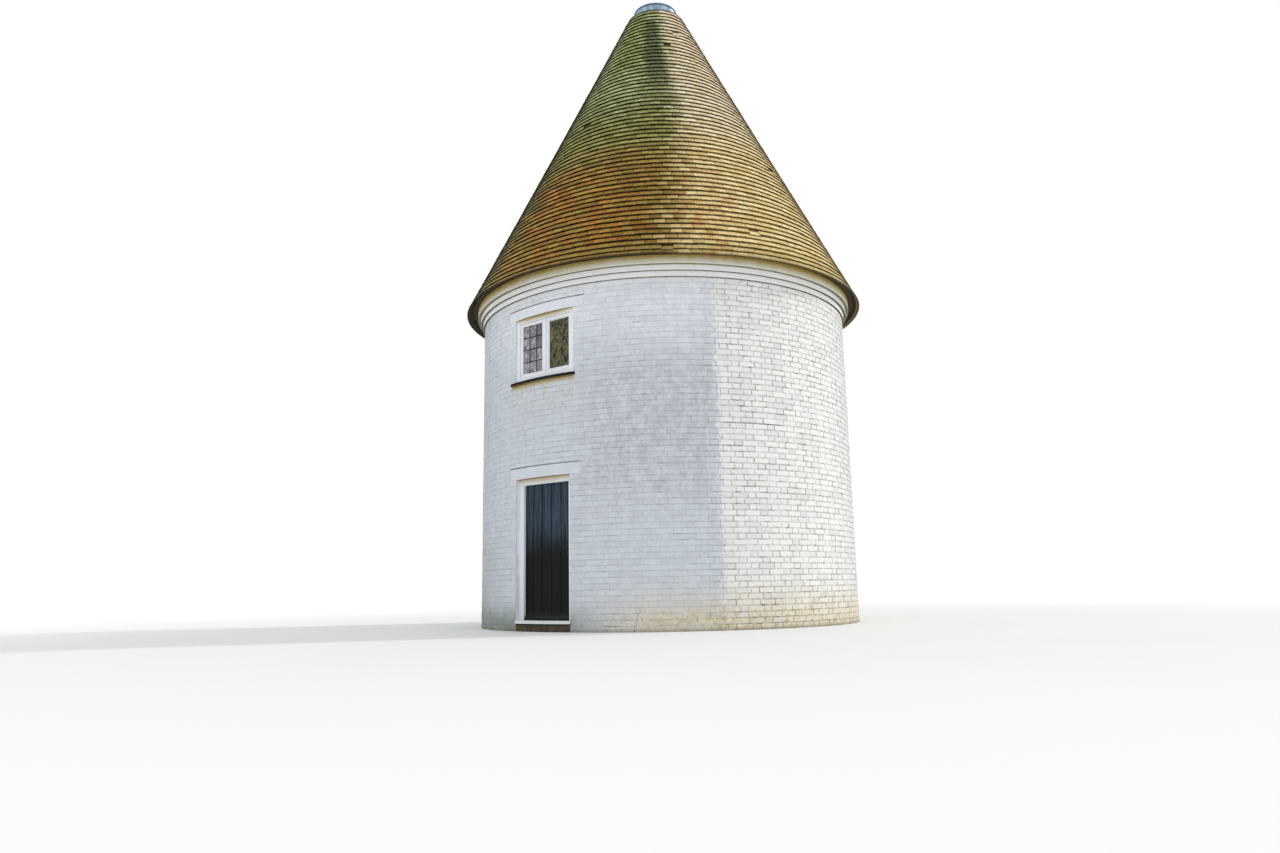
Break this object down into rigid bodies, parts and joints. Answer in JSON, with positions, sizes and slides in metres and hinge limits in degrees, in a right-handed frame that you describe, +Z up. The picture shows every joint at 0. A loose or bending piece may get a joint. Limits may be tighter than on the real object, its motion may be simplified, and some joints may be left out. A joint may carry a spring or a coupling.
{
  "type": "oast house",
  "caption": "Round brick oast kiln with corbelled eaves, a tall conical tiled roof capped in lead, a boarded door and a casement window above it.",
  "frame": {"origin": "on the tower's axis at ground level, at the bottom centre of its box", "axes": "+Z up along the tower's axis; the door and the window over it face -Y; +X is to the right of someone facing the door"},
  "size_m": [6.3798, 6.3798, 10.5403],
  "materials": {
    "painted_brick": "matte lime paint",
    "floor_brick": "matte",
    "roof_timber": "sawn",
    "brown_timber": "matte",
    "clay_tile": "matte, mossy",
    "lead": "dull sheet lead",
    "white_joinery": "gloss paint",
    "black_paint": "gloss paint",
    "iron": "black paint",
    "window_glass": "clear",
    "slate": "matte"
  },
  "bodies": {
    "building": {"ground_floor": "floor_brick", "door_step": "floor_brick", "door_pier_left": "painted_brick", "door_pier_right": "painted_brick", "wall_over_door": "painted_brick", "window_pier_left": "painted_brick", "window_pier_right": "painted_brick", "wall_over_window": "painted_brick", "wall_1": "painted_brick", "wall_2": "painted_brick", "wall_3": "painted_brick", "wall_4": "painted_brick", "wall_5": "painted_brick", "wall_6": "painted_brick", "door_lintel": "painted_brick", "window_lintel": "painted_brick", "corbel_1": "painted_brick", "corbel_2": "painted_brick", "corbel_3": "painted_brick", "wall_plate": "roof_timber", "floor_joists": "roof_timber", "floor_boards": "roof_timber", "rafters": "roof_timber", "purlin_rings": "roof_timber", "curb_ring": "roof_timber", "eaves_fillet": "brown_timber", "roof_tiles": "clay_tile", "cap_drum": "roof_timber", "lead_cap": "lead", "door_frame": "white_joinery", "threshold": "white_joinery", "hinge_pintles": "iron", "window_frame": "white_joinery", "fixed_sash": "white_joinery", "casement_sash": "white_joinery", "leaded_glass": "window_glass", "plain_glass": "window_glass", "sill_slate": "slate"},
    "door_leaf": {"door_boards": "black_paint", "door_ledges": "black_paint", "weatherboard": "black_paint", "door_hinges": "iron", "door_knobs": "iron"}
  },
  "joints": [
    {"name": "door_hinge", "type": "hinge", "parent": "building", "child": "door_leaf", "pos_m": [-0.432, -2.67, 1], "axis": [0, 0, 1], "range_deg": [0, 100]}
  ]
}
